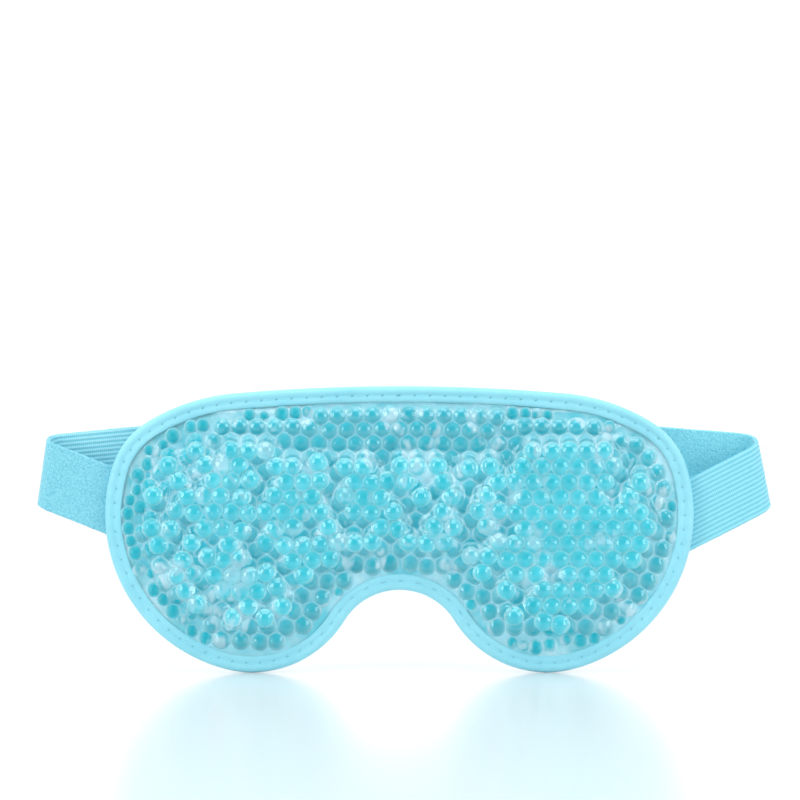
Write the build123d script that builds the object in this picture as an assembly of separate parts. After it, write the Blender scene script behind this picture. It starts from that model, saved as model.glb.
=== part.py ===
from build123d import *

import math
import os
import random

# A gel-bead eye pillow. All sizes are in millimetres.
# Frame: +X to the viewer's right, +Z up, the bead side faces -Y and the plush side faces +Y.
# The origin is on the plush back face, half way between the top edge and the nose arch.

# Outline of the mask, right half: arcs that meet tangentially, from the middle of the top edge
# round to the top of the nose arch. Each has a radius and the heading, in degrees clockwise from
# +X, that it ends on. A negative radius turns the other way. The first radius closes the outline.
TOP_Z = 37.4
TOP_HEADING = 5.0
SHOULDER = (73.2, 31.2)
TEMPLE = (30.3, 73.5)
CHEEK = (58.9, 165.3)
LOBE = (39.9, 238.4)
NOSE = (-23.7, 180.0)

# Layers through the mask, as Y levels from back to front. The plush pile stands proud of the
# binding that holds its edge down, and rises between two insets.
PILE_FACE = 0.0
PLUSH_BACK = -1.2
PLUSH_FRONT = -3.2
PILE_INSETS = (6.3, 9.0)
FILM = 0.3
BACK_FILM_FRONT = PLUSH_FRONT - FILM
FLANGE_FRONT = BACK_FILM_FRONT - FILM

# The binding is one tape folded round the edge.
TAPE = 0.7
BINDING_LEG = 6.0
BINDING_EDGE_ROUND = 0.9
CORE_INSET = TAPE + 0.1

# The front film's pillow: how far in from the outline each level lies, and its depth.
PILLOW = ((6.5, FLANGE_FRONT), (7.5, -9.0), (10.5, -13.1), (17.5, -15.3))
CAVITY = tuple((inset + 0.35, y + FILM) for inset, y in PILLOW)

# Gel beads: two layers, the front one only where the pillow is full.
BEAD_DIAMETER = 6.0
BEAD_PITCH = 6.5
REAR_BEADS_Y = BACK_FILM_FRONT - BEAD_DIAMETER / 2 - 0.05
LAYER_STEP = 5.1
REAR_BEADS_INSET = 10.6
FRONT_BEADS_INSET = 17.5
BEAD_JITTER = 1.1
DROPPED_BEADS = 2500
EDGE_CROWDING = 2.2
SETTLING_STEPS = 45
TOP_BAND_Z = 12.0
TOP_BAND_HALF_WIDTH = 46.0
LOBE_BORDER_X = 36.0
# Empty places in the pouch where the two films lie together: middle (x, z) and half sizes.
FLAT_POCKETS = ((-83.0, -48.0, 9.0, 8.0), (59.0, -60.0, 22.0, 6.5))
LEFT_MARGIN_X = -70.0
LEFT_MARGIN = 14.0

# Stitches are short flat thread lengths that lie on the cloth.
THREAD_WIDTH = 0.45
THREAD_HEIGHT = 0.25
BINDING_STITCH = 3.4
BINDING_STITCH_PITCH = 5.6
BINDING_STITCH_INSET = 3.6
FINE_STITCH = 1.9
FINE_STITCH_PITCH = 2.8

# Elastic strap. Each half leaves the edge at a seam, turns back at a fold and runs behind the mask.
STRAP_WIDTH = 24.0
STRAP = 1.5
STRAP_Y = PLUSH_BACK + TAPE + STRAP / 2
HINGE_GAP = 0.35
ROOT_LENGTH = 5.5
TAB_LENGTH = 46.0
PEEL_GAP = 1.45
PATCH_LENGTH = 38.0
PATCH_WIDTH = 20.0
PATCH = 1.2
HEM_LENGTH = 9.0

# Per side: where the strap's middle line meets the edge seam, how far out the fold lies, how far
# the fold's crease leans inwards at the top, the strap's slant from square to that crease, the
# step back from the outer run to the tail, and the tail's length.
LEFT = {"side": -1, "seam": (-108.6, -4.1), "reach": 24.1, "lean": 8.0, "slant": 13.6,
        "step": 9.0, "tail": 156.0}
RIGHT = {"side": 1, "seam": (109.2, -8.9), "reach": 27.5, "lean": 11.2, "slant": 15.8,
         "step": 12.0, "tail": 158.0}

NODES = {}


def outline_arcs():
    """(radius, end heading) of each arc of the right half, with the first radius worked out."""
    rest = [SHOULDER, TEMPLE, CHEEK, LOBE, NOSE]
    heading = TOP_HEADING
    across = 0.0
    for radius, end in rest:
        across += radius * (math.sin(math.radians(end)) - math.sin(math.radians(heading)))
        heading = end
    top_radius = -across / math.sin(math.radians(TOP_HEADING))
    return [(top_radius, TOP_HEADING)] + rest


def half_outline(inset):
    """Start, middle and end point of each arc of the right half, moved in by inset."""
    x, z, heading = 0.0, TOP_Z - inset, 0.0
    arcs = []
    for radius, end in outline_arcs():
        reach = radius - inset
        points = []
        for turn in (heading, (heading + end) / 2, end):
            a, b = math.radians(turn), math.radians(heading)
            points.append((x + reach * (math.sin(a) - math.sin(b)), z + reach * (math.cos(a) - math.cos(b))))
        arcs.append(points)
        (x, z), heading = points[2], end
    return arcs


def outline_face(inset, y):
    """The mask's outline, moved in by inset, as a face at depth y."""
    arcs = half_outline(inset)
    arcs[-1][2] = (0.0, arcs[-1][2][1])
    right = [ThreePointArc(*[(x, y, z) for x, z in arc]) for arc in arcs]
    left = [ThreePointArc(*[(-x, y, z) for x, z in arc]) for arc in arcs]
    return Face(Wire(right + left))


def slab(inset, back, front):
    """A plate of the mask's outline from depth back to depth front."""
    return extrude(outline_face(inset, back), amount=back - front, dir=(0, -1, 0))


def stack(levels):
    """A closed body whose section runs straight from each (inset, y) level to the next."""
    body = None
    for low, high in zip(levels, levels[1:]):
        piece = loft([outline_face(*low), outline_face(*high)], ruled=True)
        body = piece if body is None else body + piece
    return body


def walk_outline(inset, pitch):
    """Evenly spaced (x, z, heading in degrees) along the whole outline at that inset."""
    spans = []
    x, z, heading = 0.0, TOP_Z - inset, 0.0
    for radius, end in outline_arcs():
        spans.append((x, z, heading, end, radius - inset))
        a, b = math.radians(end), math.radians(heading)
        x += (radius - inset) * (math.sin(a) - math.sin(b))
        z += (radius - inset) * (math.cos(a) - math.cos(b))
        heading = end
    lengths = [abs(s[4] * math.radians(s[3] - s[2])) for s in spans]
    count = round(sum(lengths) / pitch)
    found = []
    for i in range(count):
        along = (i + 0.5) * sum(lengths) / count
        k = 0
        while along > lengths[k]:
            along -= lengths[k]
            k += 1
        x, z, start, end, reach = spans[k]
        turn = start + (end - start) * along / lengths[k]
        a, b = math.radians(turn), math.radians(start)
        px = x + reach * (math.sin(a) - math.sin(b))
        pz = z + reach * (math.cos(a) - math.cos(b))
        found += [(px, pz, turn), (-px, pz, -turn)]
    return found


def nearest_edge(x, z):
    """How far a point lies inside the outline, and the unit (x, z) that points straight inwards."""
    ax, az, heading = min(OUTLINE_SAMPLES, key=lambda p: (x - p[0]) ** 2 + (z - p[1]) ** 2)
    t = math.radians(heading)
    inwards = (-math.sin(t), -math.cos(t))
    gap = math.hypot(x - ax, z - az)
    towards = (x - ax) * inwards[0] + (z - az) * inwards[1]
    return (gap if towards > 0 else -gap), inwards


def depth_inside(x, z):
    """How far a point lies inside the outline."""
    return nearest_edge(x, z)[0]


def pack_beads(least_inset, phase, keep, seed):
    """Bead centres (x, z): a close-packed grid, shaken, then pushed apart and in from the edge."""
    shake = random.Random(seed)
    row_step = BEAD_PITCH * math.sqrt(3) / 2
    centres = []
    for row in range(-14, 9):
        for column in range(-18, 19):
            x = (column + (row % 2) / 2 + phase) * BEAD_PITCH
            z = row * row_step + phase * BEAD_PITCH
            order = 0.2 if z > TOP_BAND_Z or x > LOBE_BORDER_X else 1.0
            x += shake.uniform(-1, 1) * BEAD_JITTER * order
            z += shake.uniform(-1, 1) * BEAD_JITTER * order
            if depth_inside(x, z) > least_inset - EDGE_CROWDING and keep(x, z):
                centres.append([x, z])
    for _ in range(SETTLING_STEPS):
        for bead in centres:
            depth, inwards = nearest_edge(*bead)
            short = max(0.0, least_inset + 0.02 - depth)
            bead[0] += inwards[0] * short
            bead[1] += inwards[1] * short
        for i, a in enumerate(centres):
            for b in centres[:i]:
                push_apart(a, b, BEAD_DIAMETER + 0.08)
    kept = []
    for bead in centres:
        if depth_inside(*bead) > least_inset and clear_of_others(bead, kept + [bead]):
            kept.append(bead)
    return kept


def push_apart(a, b, least):
    """Moves two beads apart until their middles are that far from each other."""
    dx, dz = a[0] - b[0], a[1] - b[1]
    if abs(dx) > least or abs(dz) > least:
        return
    gap = math.hypot(dx, dz)
    short = least - gap
    if short > 0:
        for bead, way in ((a, 1), (b, -1)):
            bead[0] += way * dx / gap * short / 2
            bead[1] += way * dz / gap * short / 2


def clear_of_others(bead, centres):
    """True if no earlier bead still overlaps this one."""
    for other in centres:
        if other is bead:
            return True
        if math.dist(bead, other) < BEAD_DIAMETER + 0.02:
            return False
    return True


def filled(x, z):
    """False in the pouch's empty flat pockets and its empty margin on the left."""
    for px, pz, half_x, half_z in FLAT_POCKETS:
        if ((x - px) / half_x) ** 2 + ((z - pz) / half_z) ** 2 < 1:
            return False
    return x > LEFT_MARGIN_X or depth_inside(x, z) > LEFT_MARGIN


def filled_deep(x, z):
    """The front layer also leaves out the shallow band under the top edge."""
    return filled(x, z) and not (z > TOP_BAND_Z and abs(x) < TOP_BAND_HALF_WIDTH)


def bead_group(centres, y, low_x, high_x):
    """The beads of one layer whose middles lie between two X values."""
    ball = Solid.make_sphere(BEAD_DIAMETER / 2, angle1=-90, angle2=90, angle3=360)
    return Compound([Pos(x, y, z) * ball for x, z in centres if low_x <= x < high_x])


def thread(x, z, heading, y_surface, outward, length):
    """One stitch: a flat thread length on the surface at y_surface, standing out by outward."""
    block = Box(length, THREAD_HEIGHT, THREAD_WIDTH)
    return Pos(x, y_surface + outward * THREAD_HEIGHT / 2, z) * Rot(0, heading, 0) * block


def make_mask():
    """The pouch, its filling, the plush back and the edge binding with its stitching."""
    pile = stack(((PILE_INSETS[0], PLUSH_BACK), (PILE_INSETS[1], PILE_FACE)))
    NODES["plush_backing"] = slab(CORE_INSET, PLUSH_BACK, PLUSH_FRONT) + pile
    NODES["back_film"] = slab(CORE_INSET, PLUSH_FRONT, BACK_FILM_FRONT)
    shell = slab(CORE_INSET, BACK_FILM_FRONT, FLANGE_FRONT) + stack(PILLOW)
    NODES["front_film"] = shell - stack(CAVITY)

    outer_back, outer_front = PLUSH_BACK + TAPE, FLANGE_FRONT - TAPE
    blank = slab(0.0, outer_back, outer_front)
    blank = fillet(blank.edges().filter_by(lambda e: abs(e.center().Y - outer_back) < 0.01
                                           or abs(e.center().Y - outer_front) < 0.01), BINDING_EDGE_ROUND)
    slot = slab(TAPE, PLUSH_BACK, FLANGE_FRONT)
    window = slab(BINDING_LEG, outer_back + 1, outer_front - 1)
    NODES["edge_binding"] = blank - slot - window

    for name, y, outward in (("front", outer_front, -1), ("back", outer_back, 1)):
        places = walk_outline(BINDING_STITCH_INSET, BINDING_STITCH_PITCH)
        if name == "back":
            places = [p for p in places if not under_strap(p[0], p[1])]
        NODES[f"binding_stitches_{name}"] = Compound(
            [thread(x, z, heading, y, outward, BINDING_STITCH) for x, z, heading in places])


def under_strap(x, z):
    """True where a strap root covers the binding's back leg."""
    seam_z = LEFT["seam"][1] if x < 0 else RIGHT["seam"][1]
    return abs(x) > 90 and abs(z - seam_z) < STRAP_WIDTH / 2 + 4


def make_beads():
    """Both bead layers, each as a left, middle and right group."""
    drop = random.Random(11)
    rear = pack_beads(REAR_BEADS_INSET, 0.0, filled, 3)
    for spot in scatter(drop):
        if filled(*spot) and depth_inside(*spot) > REAR_BEADS_INSET and clear_of_others(spot, rear + [spot]):
            rear.append(spot)
    front = []
    for spot in pack_beads(FRONT_BEADS_INSET, 0.5, filled_deep, 8) + scatter(drop):
        if filled_deep(*spot) and seat(spot, rear) and depth_inside(*spot) > FRONT_BEADS_INSET:
            if clear_of_others(spot, front + [spot]):
                front.append(spot)
    front_y = REAR_BEADS_Y - LAYER_STEP
    for layer, centres, y in (("rear", rear, REAR_BEADS_Y), ("front", front, front_y)):
        for name, low, high in (("left", -120, -LOBE_BORDER_X), ("middle", -LOBE_BORDER_X, LOBE_BORDER_X),
                                ("right", LOBE_BORDER_X, 120)):
            NODES[f"gel_beads_{layer}_{name}"] = bead_group(centres, y, low, high)


def scatter(drop):
    """Random places over the whole mask, for beads that find the gaps the grid left."""
    return [[drop.uniform(-98, 98), drop.uniform(-60, 28)] for _ in range(DROPPED_BEADS)]


def seat(bead, below):
    """Slides a front bead sideways until it clears the rear layer. False if it can't."""
    flat = math.sqrt((BEAD_DIAMETER + 0.05) ** 2 - LAYER_STEP ** 2)
    for _ in range(20):
        near = min(below, key=lambda b: math.dist(b, bead))
        gap = math.dist(near, bead)
        if gap >= flat:
            return True
        if gap < 1e-6:
            return False
        bead[0] += (bead[0] - near[0]) / gap * (flat - gap + 0.01)
        bead[1] += (bead[1] - near[1]) / gap * (flat - gap + 0.01)
    return False


def strap_axes(half):
    """Unit vectors of a strap half in (x, z): outwards across the crease, and up along it."""
    lean = math.radians(half["lean"])
    out = (half["side"] * math.cos(lean), math.sin(lean))
    up = (-half["side"] * math.sin(lean), math.cos(lean))
    return out, up


def strap_point(half, u, v):
    """(x, z) of a point u out from the seam and v up along the crease."""
    out, up = strap_axes(half)
    seam = half["seam"]
    return seam[0] + u * out[0] + v * up[0], seam[1] + u * out[1] + v * up[1]


def strap_plate(half, start, end, y_low, y_high, tail=False, width=STRAP_WIDTH):
    """A length of the strap between two lines parallel to the crease, in a plane of constant Y.
    start and end are measured along the unfolded strap, square to the crease."""
    slant = math.radians(half["slant"])
    half_width = width / 2 / math.cos(slant)
    turn = half["reach"] + half["step"]
    corners = []
    for along, way in ((start, -1), (end, -1), (end, 1), (start, 1)):
        u = half["reach"] - (along - turn) if tail else along
        corners.append(strap_point(half, u, along * math.tan(slant) + way * half_width))
    face = Face(Polyline(*[(x, y_low, z) for x, z in corners], close=True))
    return extrude(face, amount=y_high - y_low, dir=(0, 1, 0))


def knuckle(half, along, y, tail=False):
    """The rounded strap edge that turns in a fold line: a thin rod along the crease direction."""
    slant = math.radians(half["slant"])
    half_width = STRAP_WIDTH / 2 / math.cos(slant)
    u = half["reach"] if tail or along > half["reach"] else along
    low = strap_point(half, u, along * math.tan(slant) - half_width)
    high = strap_point(half, u, along * math.tan(slant) + half_width)
    axis = Vector(high[0] - low[0], 0, high[1] - low[1])
    return Solid.make_cylinder(STRAP / 2, axis.length, Plane((low[0], y, low[1]), z_dir=axis))


def fold_link(half):
    """The short run across the fold, from the outer run's plane back to the tail's plane."""
    slant = math.radians(half["slant"])
    half_width = STRAP_WIDTH / 2 / math.cos(slant)
    reach, step = half["reach"], half["step"]
    corners = []
    for along, way in ((reach, -1), (reach + step, -1), (reach + step, 1), (reach, 1)):
        x, z = strap_point(half, reach - STRAP / 2, along * math.tan(slant) + way * half_width)
        corners.append((x, STRAP_Y + along - reach, z))
    out, _ = strap_axes(half)
    body = extrude(Face(Polyline(*corners, close=True)), amount=STRAP, dir=(out[0], 0, out[1]))
    return body + knuckle(half, reach, STRAP_Y) + knuckle(half, reach + step, STRAP_Y + step)


def square_cut(half, along):
    """A big block that holds the strap beyond a line square to its length, near its tail's end."""
    x, z, angle = tail_place(half, along)
    block = Pos(-half["side"] * 50, 0, 0) * Box(100, 60, 80)
    return Pos(x, 0, z) * Rot(0, angle, 0) * block


def tail_place(half, along):
    """(x, z, turn about Y in degrees) of the tail's middle line at that unfolded length."""
    slant = math.radians(half["slant"])
    turn = half["reach"] + half["step"]
    x, z = strap_point(half, half["reach"] - (along - turn), along * math.tan(slant))
    rise = half["slant"] - half["lean"]
    return x, z, half["side"] * rise


def tail_y(half):
    """Depth of the middle of the tail's cloth."""
    return STRAP_Y + half["step"]


def flat_on_tail(half, along, length, width, y_low, y_high):
    """A rectangle square to the tail, centred at that unfolded length."""
    x, z, angle = tail_place(half, along)
    return Pos(x, (y_low + y_high) / 2, z) * Rot(0, angle, 0) * Box(length, y_high - y_low, width)


def stitch_box(half, along, length, width, y_surface, outward):
    """A rectangle of fine stitches on the tail."""
    x, z, angle = tail_place(half, along)
    stitches = []
    columns = int(length / FINE_STITCH_PITCH)
    rows = int(width / FINE_STITCH_PITCH)
    for i in range(columns):
        across = (i + 0.5) * length / columns - length / 2
        for edge in (-width / 2, width / 2):
            stitches.append(thread(across, edge, 0, y_surface, outward, FINE_STITCH))
    for i in range(rows):
        upward = (i + 0.5) * width / rows - width / 2
        for edge in (-length / 2, length / 2):
            stitches.append(thread(edge, upward, 90, y_surface, outward, FINE_STITCH))
    return Compound([Pos(x, 0, z) * Rot(0, angle, 0) * s for s in stitches])


def make_strap(name, half):
    """One strap half: root, outer run, fold and tail, each ending clear of its fold lines."""
    low, high = STRAP_Y - STRAP / 2, STRAP_Y + STRAP / 2
    gap = STRAP / 2 + HINGE_GAP
    reach, turn = half["reach"], half["reach"] + half["step"]
    NODES[f"{name}_strap_root"] = strap_plate(half, -ROOT_LENGTH - gap, -gap, low, high)
    outer = strap_plate(half, 0, reach - gap, low, high)
    NODES[f"{name}_strap_outer"] = outer + knuckle(half, 0, STRAP_Y)
    NODES[f"{name}_strap_fold"] = fold_link(half)

    slant = math.radians(half["slant"])
    rows = []
    for row in (0.3, 0.75):
        along = -gap - ROOT_LENGTH * row
        count = int(STRAP_WIDTH / FINE_STITCH_PITCH)
        for i in range(count):
            v = along * math.tan(slant) + ((i + 0.5) / count - 0.5) * (STRAP_WIDTH - 2)
            x, z = strap_point(half, along, v)
            rows.append(thread(x, z, 90 + half["side"] * -half["lean"], high, 1, FINE_STITCH))
    NODES[f"{name}_root_stitches"] = Compound(rows)

    back_low, back_high = tail_y(half) - STRAP / 2, tail_y(half) + STRAP / 2
    end = turn + half["tail"] * math.cos(slant)
    tail = strap_plate(half, turn + gap, end + 30, back_low, back_high, tail=True)
    return tail, end, back_low, back_high


def make_closure():
    """The left tail with its hem, and the right tail with the hook tab that presses onto it."""
    tail, end, low, high = make_strap("left", LEFT)
    cos_left = math.cos(math.radians(LEFT["slant"]))
    NODES["left_strap_tail"] = tail - square_cut(LEFT, end)
    hem_middle = end - (HEM_LENGTH / 2) * cos_left
    NODES["left_tip_hem"] = flat_on_tail(LEFT, hem_middle, HEM_LENGTH, STRAP_WIDTH, low - STRAP, low)
    NODES["left_hem_stitches"] = stitch_box(LEFT, hem_middle, HEM_LENGTH - 3, STRAP_WIDTH - 4, low - STRAP, -1)

    tail, end, low, high = make_strap("right", RIGHT)
    cos_right = math.cos(math.radians(RIGHT["slant"]))
    peel = end - TAB_LENGTH * cos_right
    NODES["right_strap_tail"] = tail - square_cut(RIGHT, peel - PEEL_GAP * cos_right)
    x, z, angle = tail_place(RIGHT, peel)
    rod = Rot(0, angle, 0) * Pos(0, 0, -STRAP_WIDTH / 2) * Solid.make_cylinder(STRAP / 2, STRAP_WIDTH)
    rod = Pos(x, tail_y(RIGHT), z) * rod
    plate = flat_on_tail(RIGHT, (peel + end) / 2, TAB_LENGTH, STRAP_WIDTH, low, high)
    NODES["right_strap_tab"] = plate + rod
    patch_middle = end - (PATCH_LENGTH / 2 + 2) * cos_right
    NODES["hook_patch"] = flat_on_tail(RIGHT, patch_middle, PATCH_LENGTH, PATCH_WIDTH, low - PATCH, low)
    NODES["hook_patch_stitches"] = stitch_box(RIGHT, patch_middle, PATCH_LENGTH - 2, PATCH_WIDTH - 2, high, 1)


OUTLINE_SAMPLES = walk_outline(0.0, 1.5)
make_mask()
make_beads()
make_closure()

os.makedirs("parts", exist_ok=True)
for node, shape in NODES.items():
    export_step(shape, f"parts/{node}.step")
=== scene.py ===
import math

import bpy
import numpy as np
from mathutils import Matrix, Vector


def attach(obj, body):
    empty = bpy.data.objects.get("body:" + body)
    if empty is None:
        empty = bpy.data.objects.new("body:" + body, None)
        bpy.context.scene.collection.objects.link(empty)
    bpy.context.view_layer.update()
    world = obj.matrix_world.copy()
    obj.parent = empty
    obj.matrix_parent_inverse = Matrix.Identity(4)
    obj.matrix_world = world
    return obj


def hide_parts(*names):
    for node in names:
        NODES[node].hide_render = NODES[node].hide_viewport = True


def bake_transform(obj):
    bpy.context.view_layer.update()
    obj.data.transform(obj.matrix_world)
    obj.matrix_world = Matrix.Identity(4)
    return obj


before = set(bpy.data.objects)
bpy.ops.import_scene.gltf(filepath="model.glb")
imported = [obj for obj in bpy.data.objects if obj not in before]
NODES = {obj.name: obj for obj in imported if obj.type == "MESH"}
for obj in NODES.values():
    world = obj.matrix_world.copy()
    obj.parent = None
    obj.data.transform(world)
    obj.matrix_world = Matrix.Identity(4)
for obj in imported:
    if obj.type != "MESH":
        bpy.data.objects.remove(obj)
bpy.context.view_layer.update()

MM = 0.001

# The mask's outline, right half: (radius in mm, heading in degrees clockwise from +X at the end).
TOP_Z = 37.4
TOP_HEADING = 5.0
ARCS = [(73.2, 31.2), (30.3, 73.5), (58.9, 165.3), (39.9, 238.4), (-23.7, 180.0)]

# Depth levels in mm, back to front.
PLUSH_EDGE_Y = -1.2
BACK_FILM_Y = -3.5
FLANGE_Y = -3.8
STITCH_INSET = 3.5
WRINKLE_AT = (63.0, -64.0)
TAPE_LAP_AT = (83.0, 30.0)
STITCH_PITCH = 5.6

BEAD_R = 3.0
FAT_BEAD_R = 3.6
BEAD_GAP = 0.05
SMALL_SWELL = 1.12

# Strap halves, in mm and degrees: seam point (x, z), distance to the fold, lean, slant, step back,
# tail length and the radius the strap bends round.
HALVES = {
    "left": {"side": -1, "seam": (-108.6, -4.1), "reach": 24.1, "lean": 8.0, "slant": 13.6, "step": 9.0,
             "tail": 156.0, "bend": 3.4},
    "right": {"side": 1, "seam": (109.2, -8.9), "reach": 27.5, "lean": 11.2, "slant": 15.8, "step": 12.0,
              "tail": 158.0, "bend": 4.6},
}
STRAP_WIDTH = 24.0
STRAP_T = 1.3
STRAP_Y = 0.25
TAB_LENGTH = 46.0


# ---------------------------------------------------------------- small helpers

def srgb(r, g, b):
    """A colour given as 0-255 sRGB, as linear RGBA."""
    def one(c):
        c /= 255
        return c / 12.92 if c <= 0.04045 else ((c + 0.055) / 1.055) ** 2.4
    return one(r), one(g), one(b), 1.0


def make_mesh(name, verts_mm, faces, smooth=True):
    mesh = bpy.data.meshes.new(name)
    mesh.from_pydata((np.asarray(verts_mm, float) * MM).tolist(), [], faces)
    mesh.validate()
    if smooth:
        mesh.polygons.foreach_set("use_smooth", [True] * len(mesh.polygons))
    mesh.update()
    ob = bpy.data.objects.new(name, mesh)
    bpy.context.scene.collection.objects.link(ob)
    return ob


def grid_faces(rows, columns, close_rows=False, close_columns=False, start=0):
    faces = []
    for i in range(rows - (0 if close_rows else 1)):
        for j in range(columns - (0 if close_columns else 1)):
            a, b = i * columns + j, i * columns + (j + 1) % columns
            c, d = ((i + 1) % rows) * columns + (j + 1) % columns, ((i + 1) % rows) * columns + j
            faces.append((a + start, b + start, c + start, d + start))
    return faces


def value_noise(x, z, scale, seed):
    """Smooth noise in -1..1 at points x, z (arrays, mm), with features about scale mm across."""
    def lattice(i, j):
        n = (i * 374761393 + j * 668265263 + seed * 2147483647) & 0xFFFFFFFF
        n = ((n ^ (n >> 13)) * 1274126177) & 0xFFFFFFFF
        return ((n ^ (n >> 16)) & 0xFFFF) / 32767.5 - 1
    gx, gz = np.asarray(x, float) / scale, np.asarray(z, float) / scale
    i, j = np.floor(gx).astype(np.int64), np.floor(gz).astype(np.int64)
    u, w = gx - i, gz - j
    u, w = u * u * (3 - 2 * u), w * w * (3 - 2 * w)
    low = lattice(i, j) * (1 - u) + lattice(i + 1, j) * u
    high = lattice(i, j + 1) * (1 - u) + lattice(i + 1, j + 1) * u
    return low * (1 - w) + high * w


def smoothstep(t):
    t = np.clip(t, 0, 1)
    return t * t * (3 - 2 * t)


# ---------------------------------------------------------------- outline

def rim(step):
    """The outline as arrays: point (n, 2), outward normal (n, 2), length along it (n), in mm."""
    across, heading = 0.0, TOP_HEADING
    for radius, end in ARCS:
        across += radius * (math.sin(math.radians(end)) - math.sin(math.radians(heading)))
        heading = end
    arcs = [(-across / math.sin(math.radians(TOP_HEADING)), TOP_HEADING)] + ARCS
    spans, x, z, heading, total = [], 0.0, TOP_Z, 0.0, 0.0
    for radius, end in arcs:
        length = abs(radius * math.radians(end - heading))
        spans.append((x, z, heading, end, radius, total, length))
        a, b = math.radians(end), math.radians(heading)
        x += radius * (math.sin(a) - math.sin(b))
        z += radius * (math.cos(a) - math.cos(b))
        heading, total = end, total + length
    count = int(round(total / step))
    points, normals = [], []
    for i in range(count + 1):
        s = total * i / count
        x, z, start, end, radius, before, length = next(
            q for q in reversed(spans) if s >= q[5] - 1e-9)
        turn = math.radians(start + (end - start) * (s - before) / length)
        b = math.radians(start)
        points.append((x + radius * (math.sin(turn) - math.sin(b)),
                       z + radius * (math.cos(turn) - math.cos(b))))
        normals.append((math.sin(turn), math.cos(turn)))
    points[-1] = (0.0, points[-1][1])
    flip = np.array([-1.0, 1.0])
    p, n = np.array(points), np.array(normals)
    p = np.vstack([p, p[-2:0:-1] * flip])
    n = np.vstack([n, n[-2:0:-1] * flip])
    return p, n, np.arange(len(p)) * total / count


RIM_P, RIM_N, RIM_S = rim(0.7)


def inset_of(x, z):
    """How far inside the outline each point lies, in mm (negative outside)."""
    x, z = np.asarray(x, float).ravel(), np.asarray(z, float).ravel()
    out = np.empty(len(x))
    for k in range(0, len(x), 4000):
        d = np.stack([x[k:k + 4000, None] - RIM_P[None, :, 0], z[k:k + 4000, None] - RIM_P[None, :, 1]], -1)
        r = np.hypot(d[..., 0], d[..., 1])
        near = r.argmin(1)
        row = np.arange(len(near))
        side = -(d[row, near] * RIM_N[near]).sum(1)
        out[k:k + 4000] = np.where(side >= 0, r[row, near], -r[row, near])
    return out


# ---------------------------------------------------------------- materials

def new_material(name):
    mat = bpy.data.materials.new(name)
    mat.use_nodes = True
    nt = mat.node_tree
    bsdf = nt.nodes["Principled BSDF"]
    return mat, nt, bsdf


def node(nt, kind, **values):
    n = nt.nodes.new(kind)
    for key, value in values.items():
        if key in n.inputs:
            n.inputs[key].default_value = value
        else:
            setattr(n, key, value)
    return n


def mix_colour(nt, fac, a, b, blend="MIX"):
    m = nt.nodes.new("ShaderNodeMix")
    m.data_type = "RGBA"
    m.blend_type = blend
    for index, source in ((0, fac), (6, a), (7, b)):
        if hasattr(source, "is_output"):
            nt.links.new(source, m.inputs[index])
        else:
            m.inputs[index].default_value = source
    return m.outputs[2]


def maths(nt, operation, *sources):
    m = nt.nodes.new("ShaderNodeMath")
    m.operation = operation
    for index, source in enumerate(sources):
        if hasattr(source, "is_output"):
            nt.links.new(source, m.inputs[index])
        else:
            m.inputs[index].default_value = source
    return m.outputs[0]


def scaled_coords(nt, scale, uv=None):
    if uv:
        coords = node(nt, "ShaderNodeUVMap", uv_map=uv).outputs["UV"]
    else:
        coords = nt.nodes.new("ShaderNodeTexCoord").outputs["Object"]
    mapping = nt.nodes.new("ShaderNodeMapping")
    mapping.inputs["Scale"].default_value = scale
    nt.links.new(coords, mapping.inputs["Vector"])
    return mapping.outputs["Vector"]


def noise(nt, coords, scale, detail=2.0):
    n = node(nt, "ShaderNodeTexNoise", Scale=scale, Detail=detail)
    nt.links.new(coords, n.inputs["Vector"])
    return n.outputs["Fac"]


def bump(nt, height, strength, distance, normal=None):
    b = node(nt, "ShaderNodeBump", Strength=strength, Distance=distance)
    nt.links.new(height, b.inputs["Height"])
    if normal is not None:
        nt.links.new(normal, b.inputs["Normal"])
    return b.outputs["Normal"]


def tape_material():
    """Satin bias binding: fine diagonal twill, faint mottling, and painted shade in the dimples where a
    needle went through.
    """
    mat, nt, bsdf = new_material("binding_satin")
    uv = scaled_coords(nt, (1, 1, 1), "metres")
    wave = node(nt, "ShaderNodeTexWave", wave_type="BANDS", bands_direction="DIAGONAL", Scale=520.0,
                Distortion=0.6, Detail=1.0)
    nt.links.new(uv, wave.inputs["Vector"])
    cloth = noise(nt, uv, 900.0, 3.0)
    mottle = noise(nt, scaled_coords(nt, (1, 1, 1)), 60.0, 3.0)
    base = mix_colour(nt, mottle, srgb(132, 212, 230), srgb(160, 232, 247))
    base = mix_colour(nt, maths(nt, "MULTIPLY", cloth, 0.22), base, srgb(104, 190, 212))
    # Painted shade: the tape is darkened in the sunk needle-hole dimples.
    hole_shade = node(nt, "ShaderNodeAttribute", attribute_name="hole_shade").outputs["Fac"]
    base = mix_colour(nt, hole_shade, base, srgb(84, 160, 180))
    nt.links.new(base, bsdf.inputs["Base Color"])
    height = maths(nt, "ADD", maths(nt, "MULTIPLY", wave.outputs["Fac"], 0.5), cloth)
    nt.links.new(bump(nt, height, 0.25, 0.00008), bsdf.inputs["Normal"])
    nt.links.new(maths(nt, "MULTIPLY_ADD", mottle, 0.16, 0.42), bsdf.inputs["Roughness"])
    bsdf.inputs["Sheen Weight"].default_value = 0.25
    bsdf.inputs["Sheen Roughness"].default_value = 0.4
    return mat


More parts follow.
